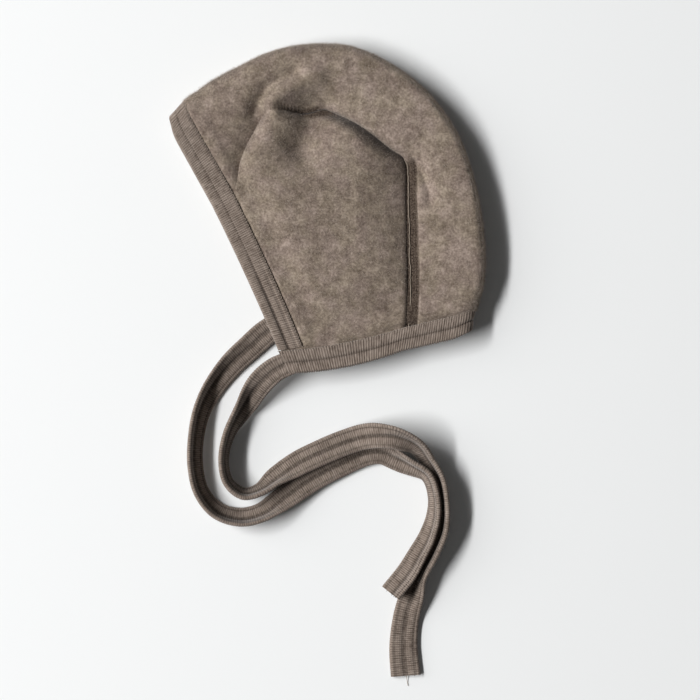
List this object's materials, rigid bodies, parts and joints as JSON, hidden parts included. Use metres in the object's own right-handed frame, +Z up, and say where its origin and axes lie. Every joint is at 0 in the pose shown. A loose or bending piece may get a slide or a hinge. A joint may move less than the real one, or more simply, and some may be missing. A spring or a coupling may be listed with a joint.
{
  "type": "baby bonnet",
  "caption": "Soft fleece baby bonnet lying on its side, with side panels sewn into a crown strip, rib-knit bound face and neck edges and long flat ties.",
  "frame": {"origin": "middle of the bonnet's footprint without its ties, on the surface it lies on", "axes": "+X from the face opening to the nape, +Y from the neck to the crown, +Z up from the surface to the wearer's left side"},
  "size_m": [0.1728, 0.3462, 0.0206],
  "materials": {
    "fleece": "brushed melange wool fleece, matt",
    "rib_knit": "fine rib knit, matt"
  },
  "bodies": {
    "root": {"centre_panel": "fleece", "left_side_panel": "fleece", "right_side_panel": "fleece", "face_binding": "rib_knit", "neck_binding": "rib_knit", "left_tie": "rib_knit", "right_tie": "rib_knit"}
  },
  "joints": []
}
